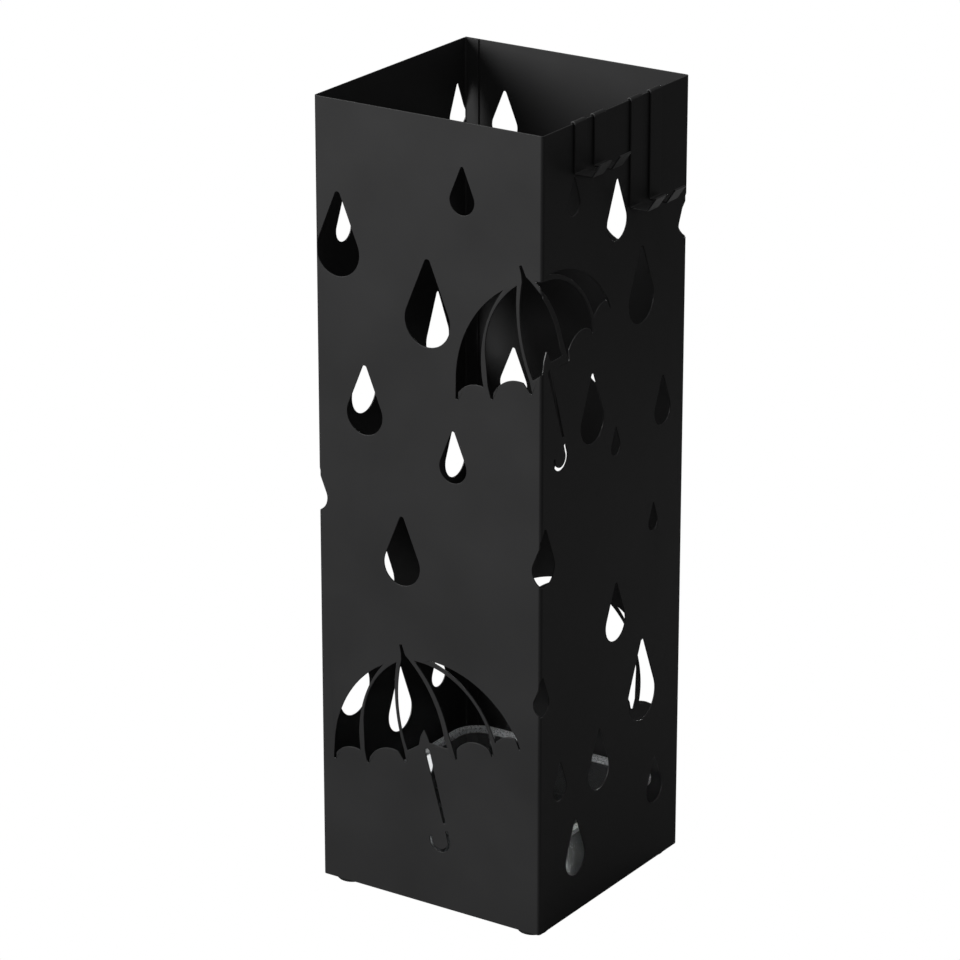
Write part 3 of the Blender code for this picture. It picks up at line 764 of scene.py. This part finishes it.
class STAND_OT_base_pan(bpy.types.Operator):
    """Fold the base pan with its turned-up edges and its holes for the feet"""
    bl_idname = "umbrella_stand.base_pan"
    bl_label = "Base pan"
    bl_options = {"REGISTER", "UNDO"}

    notch: measure("Corner notch", "Square notch that clears the shell's corners", 0.004)
    bend: measure("Bend radius", "Outside radius of the turned-up edges", 0.0016)
    hole: measure("Foot hole", "Radius of a hole for a foot", 0.0025)

    def execute(self, context):
        sizes = context.scene.stand_sizes
        half = (PAN_HIGH.y - PAN_LOW.y) / 2
        bpy.ops.object.select_all(action="DESELECT")
        bpy.ops.mesh.primitive_plane_add(size=2 * half, location=MIDDLE + Vector((0.0, 0.0, BOTTOM)))
        pan = new_name("base_pan_folded")
        place_apply(pan)
        edit(pan)
        inner = half - self.notch
        for axis in range(2):
            for side in (-1, 1):
                normal = Vector((0.0, 0.0, 0.0))
                normal[axis] = 1.0
                bpy.ops.mesh.select_all(action="SELECT")
                bpy.ops.mesh.bisect(plane_co=MIDDLE + normal * side * inner, plane_no=normal)
        pick("FACE", lambda face: all(
            abs(face.calc_center_median()[axis] - MIDDLE[axis]) > inner for axis in range(2)))
        bpy.ops.mesh.delete(type="FACE")
        pick("EDGE", lambda edge: self.on_side(edge, half))
        bpy.ops.mesh.extrude_edges_move(TRANSFORM_OT_translate={"value": (0.0, 0.0, PAN_HIGH.z - BOTTOM)})
        pick("EDGE", lambda edge: self.on_side(edge, half) and all(
            vert.co.z < BOTTOM + GAP for vert in edge.verts))
        bevel_picked(self.bend, segments=5)
        leave()
        face = max(pan.data.polygons, key=lambda polygon: polygon.area)
        thicken(pan, sizes.sheet, -1.0 if face.normal.z < 0.0 else 1.0)
        for name in FEET:
            low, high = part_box(name)
            bpy.ops.object.select_all(action="DESELECT")
            bpy.ops.mesh.primitive_cylinder_add(
                vertices=48, radius=self.hole, depth=0.01,
                location=((low.x + high.x) / 2, (low.y + high.y) / 2, BOTTOM))
            cutter = new_name("foot_hole")
            place_apply(cutter)
            cut_with(pan, cutter)
        soften_edges(pan, sizes.edge)
        give(pan, powder_coat(context.scene.stand_finish), "stand", ["base_pan"])
        return {"FINISHED"}

    def on_side(self, edge, half):
        """Whether an edge lies whole on one of the square's four sides."""
        for axis in range(2):
            for side in (-1, 1):
                if all(abs(vert.co[axis] - MIDDLE[axis] - side * half) < SAME_PLACE for vert in edge.verts):
                    return abs(edge.verts[0].co.z - edge.verts[1].co.z) < SAME_PLACE
        return False


class STAND_OT_feet(bpy.types.Operator):
    """Turn the four push-in rubber feet"""
    bl_idname = "umbrella_stand.feet"
    bl_label = "Feet"
    bl_options = {"REGISTER", "UNDO"}

    flat: measure("Flat", "Radius of the flat underside", 0.0080)
    neck: measure("Neck", "Radius of the neck in the pan's hole", 0.0022)
    head: measure("Head", "Radius of the head above the pan", 0.0032)

    def execute(self, context):
        sizes = context.scene.stand_sizes
        radius = (FOOT_HIGH.x - FOOT_LOW.x) / 2
        seat = BOTTOM - GAP
        top = BOTTOM + sizes.sheet + GAP
        rise = seat * FOOT_SHOULDER
        profile = [(0.0, 0.0), (self.flat - FOOT_CHAMFER, 0.0)]
        for step in range(FOOT_STEPS + 1):
            turn = math.pi / 2 * step / FOOT_STEPS
            out = self.flat + (radius - self.flat) * math.sin(turn)
            profile.append((out, rise * (1.0 - math.cos(turn)) + FOOT_LIFT))
        profile += [
            (radius, seat - FOOT_CHAMFER), (radius - FOOT_CHAMFER, seat), (self.neck, seat),
            (self.neck, top), (self.head, top), (self.head, top + FOOT_LIP),
            (self.neck, FOOT_HIGH.z - FOOT_LIP), (self.neck - FOOT_CHAMFER, FOOT_HIGH.z),
            (0.0, FOOT_HIGH.z),
        ]
        first = draw_chain("foot", [Vector((x, 0.0, z)) for x, z in profile])
        edit(first)
        bpy.ops.mesh.select_all(action="SELECT")
        bpy.ops.mesh.spin(steps=48, angle=2 * math.pi, center=(0.0, 0.0, 0.0), axis=(0.0, 0.0, 1.0))
        leave()
        normals_out(first)
        select_only(first)
        bpy.ops.object.shade_smooth_by_angle(angle=math.radians(SOFT_ANGLE))
        rubber = foot_rubber(context.scene.stand_finish)
        for name in FEET:
            low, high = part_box(name)
            foot = bpy.data.objects.new(name.replace("foot", "rubber_foot"), first.data.copy())
            bpy.context.scene.collection.objects.link(foot)
            foot.location = ((low.x + high.x) / 2, (low.y + high.y) / 2, 0.0)
            place_apply(foot)
            give(foot, rubber, "stand", [name])
        bpy.data.objects.remove(first, do_unlink=True)
        return {"FINISHED"}


class STAND_OT_tray(bpy.types.Operator):
    """Mould the clear drip tray"""
    bl_idname = "umbrella_stand.tray"
    bl_label = "Drip tray"
    bl_options = {"REGISTER", "UNDO"}

    rim: measure("Rim", "How far the rim turns out", 0.003)
    rim_depth: measure("Rim depth", "Height of the rim's edge", 0.003)
    draft: measure("Draft", "How much each side leans in over the height", 0.0016)
    corner: measure("Corner", "Radius of the tray's upright corners", 0.0139)
    fillet: measure("Fillet", "Rounding between the floor and the sides", 0.0030)

    def execute(self, context):
        sizes = context.scene.stand_sizes
        wall = sizes.tray_wall
        outer = (TRAY_HIGH.y - TRAY_LOW.y) / 2
        side = outer - self.rim
        foot = side - self.draft
        floor, top = TRAY_LOW.z, TRAY_HIGH.z
        bpy.ops.object.select_all(action="DESELECT")
        bpy.ops.mesh.primitive_plane_add(size=2 * foot, location=MIDDLE + Vector((0.0, 0.0, floor)))
        tray = new_name("clear_tray")
        place_apply(tray)
        edit(tray)
        bpy.ops.mesh.select_all(action="SELECT")
        bpy.ops.mesh.bevel(offset=self.corner, segments=12, profile=0.5, affect="VERTICES")
        leave()
        # Each ring of the section is the last one carried up and out.
        under = top - self.rim_depth
        section = [(foot, floor), (side, under), (outer, under), (outer, top), (side - wall, top),
                   (foot - wall, floor + wall)]
        edit(tray)
        bpy.ops.mesh.select_all(action="SELECT")
        for (before, low), (after, high) in zip(section, section[1:]):
            bpy.ops.mesh.extrude_region_move(TRANSFORM_OT_translate={"value": (0.0, 0.0, high - low)})
            self.spread(after - before)
        leave()
        normals_out(tray)
        edit(tray)
        turns = ((foot, floor, self.fillet), (foot - wall, floor + wall, self.fillet - wall * INNER_FILLET))
        for reach, height, radius in turns:
            pick("EDGE", lambda edge: all(abs(vert.co.z - height) < SAME_PLACE for vert in edge.verts)
                 and all(self.at_ring(vert.co, reach) for vert in edge.verts))
            bevel_picked(radius, segments=5)
        leave()
        soften_edges(tray, TRAY_EDGE, segments=3)
        give(tray, clear_plastic(context.scene.stand_finish), "tray", ["drip_tray"])
        return {"FINISHED"}

    def at_ring(self, place, reach):
        """Whether a point is on the rounded square's outline and not inside it."""
        x, y = abs(place.x - MIDDLE.x), abs(place.y - MIDDLE.y)
        return max(x, y) > reach - self.corner - SAME_PLACE

    def spread(self, distance):
        """Moves the selected ring out, or in where distance is negative, keeping its corners' centres."""
        work = bmesh.from_edit_mesh(bpy.context.edit_object.data)
        chosen = [vert for vert in work.verts if vert.select]
        reach = max(abs(vert.co.x - MIDDLE.x) for vert in chosen)
        centre = reach - self.radius_of(chosen, reach)
        for vert in chosen:
            x, y = vert.co.x - MIDDLE.x, vert.co.y - MIDDLE.y
            spoke = Vector((max(abs(x) - centre, 0.0), max(abs(y) - centre, 0.0)))
            if spoke.length < MERGE:
                continue
            spoke = spoke.normalized() * distance
            vert.co.x += spoke.x * math.copysign(1.0, x)
            vert.co.y += spoke.y * math.copysign(1.0, y)
        bmesh.update_edit_mesh(bpy.context.edit_object.data)

    def radius_of(self, verts, reach):
        """Radius of a rounded square's corners, from where its straight sides end."""
        on_side = [abs(vert.co.y) for vert in verts if abs(vert.co.x - MIDDLE.x) > reach - MERGE]
        return reach - max(on_side)


class STAND_OT_hooks(bpy.types.Operator):
    """Fold the four strip hooks that hang over the rim"""
    bl_idname = "umbrella_stand.hooks"
    bl_label = "Hooks"
    bl_options = {"REGISTER", "UNDO"}

    inner_leg: measure("Inner leg", "Length of the leg inside the wall", 0.018)
    reach: measure("Reach", "From the wall to the start of the lip", 0.0122)
    lip_out: measure("Lip out", "How far the lip goes out", 0.0058)
    lip_up: measure("Lip up", "How far the lip rises", 0.0084)

    def execute(self, context):
        sizes = context.scene.stand_sizes
        wall = MIDDLE.x + HALF
        middle = sizes.strip / 2
        for name in HOOKS:
            low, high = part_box(name)
            under = low.z + middle
            inside, outside = wall - sizes.sheet - GAP - middle, wall + GAP + middle
            corner = wall + self.reach
            lip = Vector((self.lip_out, 0.0, self.lip_up))
            points = [
                Vector((inside, low.y, RIM - self.inner_leg)), Vector((inside, low.y, RIM + GAP + middle)),
                Vector((outside, low.y, RIM + GAP + middle)), Vector((outside, low.y, under)),
                Vector((corner, low.y, under)), Vector((corner, low.y, under)) + lip,
            ]
            slope = SQUARE - math.degrees(math.atan2(self.lip_out, self.lip_up))
            turns = (SQUARE, SQUARE, SQUARE, slope)
            hook = draw_chain(name.replace("hook", "strip_hook"), points)
            sweep_chain(hook, (0.0, high.y - low.y, 0.0))
            corners = list(zip(points[1:-1], turns))
            round_bends(hook, corners, sizes.strip_bend, segments=6, along=(0, 1, 0))
            thicken(hook, sizes.strip, side=0.0)
            normals_out(hook)
            soften_edges(hook, sizes.edge * HOOK_EDGE)
            give(hook, powder_coat(context.scene.stand_finish), name, [name])
        return {"FINISHED"}


class STAND_OT_studio(bpy.types.Operator):
    """Add the pale floor, the soft lights and the camera"""
    bl_idname = "umbrella_stand.studio"
    bl_label = "Studio"
    bl_options = {"REGISTER", "UNDO"}

    def execute(self, context):
        studio = context.scene.stand_studio
        context.scene.view_settings.view_transform = "Standard"
        context.scene.view_settings.look = "None"
        self.add_floor(studio)
        self.add_surround(context.scene, studio)
        for name, (power, size, place, aim) in LIGHTS.items():
            self.add_light(name, getattr(studio, power), size, place, aim)
        self.add_camera(context.scene, studio)
        return {"FINISHED"}

    def plain_to_eye(self, tree, place):
        """1 where the eye sees a surface straight or through clear plastic, 0 in light and gloss."""
        path = add_node(tree, "ShaderNodeLightPath", "Kind of ray", place)
        through = add_node(tree, "ShaderNodeMath", "Through plastic", (place[0] + 200, place[1]),
                           operation="GREATER_THAN")
        through.inputs[1].default_value = 0.5
        tree.links.new(path.outputs["Transmission Depth"], through.inputs[0])
        either = add_node(tree, "ShaderNodeMath", "Seen", (place[0] + 400, place[1]), operation="MAXIMUM")
        tree.links.new(path.outputs["Is Camera Ray"], either.inputs[0])
        tree.links.new(through.outputs["Value"], either.inputs[1])
        return either.outputs["Value"]

    def add_floor(self, studio):
        bpy.ops.object.select_all(action="DESELECT")
        bpy.ops.mesh.primitive_plane_add(size=12.0, location=(0.0, 0.0, 0.0))
        floor = new_name("studio_floor")
        material, tree, shader = start_material("Pale floor")
        if tree is not None:
            shader.inputs["Base Color"].default_value = (studio.reflected_floor,) * 3 + (1.0,)
            shader.inputs["Roughness"].default_value = 1.0
            shader.inputs["Specular IOR Level"].default_value = 0.0
            pale = add_node(tree, "ShaderNodeEmission", "Pale", (0, -300))
            pale.inputs["Color"].default_value = (1.0, 1.0, 1.0, 1.0)
            pale.inputs["Strength"].default_value = 1.0
            mix = add_node(tree, "ShaderNodeMixShader", "Pale to the eye", (300, 0))
            tree.links.new(self.plain_to_eye(tree, (-700, 200)), mix.inputs["Fac"])
            tree.links.new(shader.outputs["BSDF"], mix.inputs[1])
            tree.links.new(pale.outputs["Emission"], mix.inputs[2])
            tree.links.new(mix.outputs["Shader"], tree.nodes["Material Output"].inputs["Surface"])
        floor.data.materials.append(material)

    def add_surround(self, scene, studio):
        world = bpy.data.worlds.new("Studio surround")
        scene.world = world
        world.use_nodes = True
        tree = world.node_tree
        ground = tree.nodes["Background"]
        strength = add_node(tree, "ShaderNodeMapRange", "Surround strength", (-300, 0))
        tree.links.new(self.plain_to_eye(tree, (-1100, 0)), strength.inputs["Value"])
        strength.inputs["To Min"].default_value = studio.surround
        strength.inputs["To Max"].default_value = 1.0
        tree.links.new(strength.outputs["Result"], ground.inputs["Strength"])
        ground.inputs["Color"].default_value = (1.0, 1.0, 1.0, 1.0)

    def add_light(self, name, power, size, place, aim):
        bpy.ops.object.select_all(action="DESELECT")
        bpy.ops.object.light_add(type="AREA", location=place)
        light = bpy.context.view_layer.objects.active
        light.name = name
        light.data.shape = "DISK"
        light.data.size = size
        light.data.energy = power
        light.rotation_euler = (Vector(aim) - Vector(place)).to_track_quat("-Z", "Y").to_euler()

    def add_camera(self, scene, studio):
        a, e = math.radians(studio.azimuth), math.radians(studio.elevation)
        back = Vector((math.sin(a) * math.cos(e), -math.cos(a) * math.cos(e), math.sin(e)))
        right = Vector((math.cos(a), math.sin(a), 0.0))
        up = back.cross(right)
        middle = Vector((0.0, 0.0, RIM / 2))
        bpy.ops.object.select_all(action="DESELECT")
        bpy.ops.object.camera_add(location=middle + back * studio.distance + right * studio.across
                                  + up * studio.above)
        camera = bpy.context.view_layer.objects.active
        camera.name = "Studio camera"
        camera.rotation_euler = (-back).to_track_quat("-Z", "Y").to_euler()
        camera.data.lens = studio.lens
        camera.data.sensor_width = 36.0
        camera.data.clip_start = 0.1
        camera.data.clip_end = 50.0
        scene.camera = camera


class STAND_PT_panel(bpy.types.Panel):
    """The stand's sizes, finishes and pieces"""
    bl_idname = "STAND_PT_panel"
    bl_label = "Umbrella Stand"
    bl_space_type = "VIEW_3D"
    bl_region_type = "UI"
    bl_category = "Umbrella Stand"

    def draw(self, context):
        for group in (context.scene.stand_sizes, context.scene.stand_finish, context.scene.stand_studio):
            box = self.layout.box()
            for name in group.__annotations__:
                box.prop(group, name)
        for operator in PIECES:
            self.layout.operator(operator.bl_idname)


PIECES = (STAND_OT_shell, STAND_OT_base_pan, STAND_OT_feet, STAND_OT_tray, STAND_OT_hooks, STAND_OT_studio)
GROUPS = {"stand_sizes": StandSizes, "stand_finish": StandFinish, "stand_studio": StandStudio}
CLASSES = (*GROUPS.values(), *PIECES, STAND_PT_panel)


def register():
    for item in CLASSES:
        bpy.utils.register_class(item)
    for name, group in GROUPS.items():
        setattr(bpy.types.Scene, name, bpy.props.PointerProperty(type=group))


def unregister():
    for name in GROUPS:
        delattr(bpy.types.Scene, name)
    for item in reversed(CLASSES):
        bpy.utils.unregister_class(item)


def main():
    register()
    bpy.ops.umbrella_stand.shell()
    bpy.ops.umbrella_stand.base_pan()
    bpy.ops.umbrella_stand.feet()
    bpy.ops.umbrella_stand.tray()
    bpy.ops.umbrella_stand.hooks()
    bpy.ops.umbrella_stand.studio()


if __name__ == "__main__":
    main()
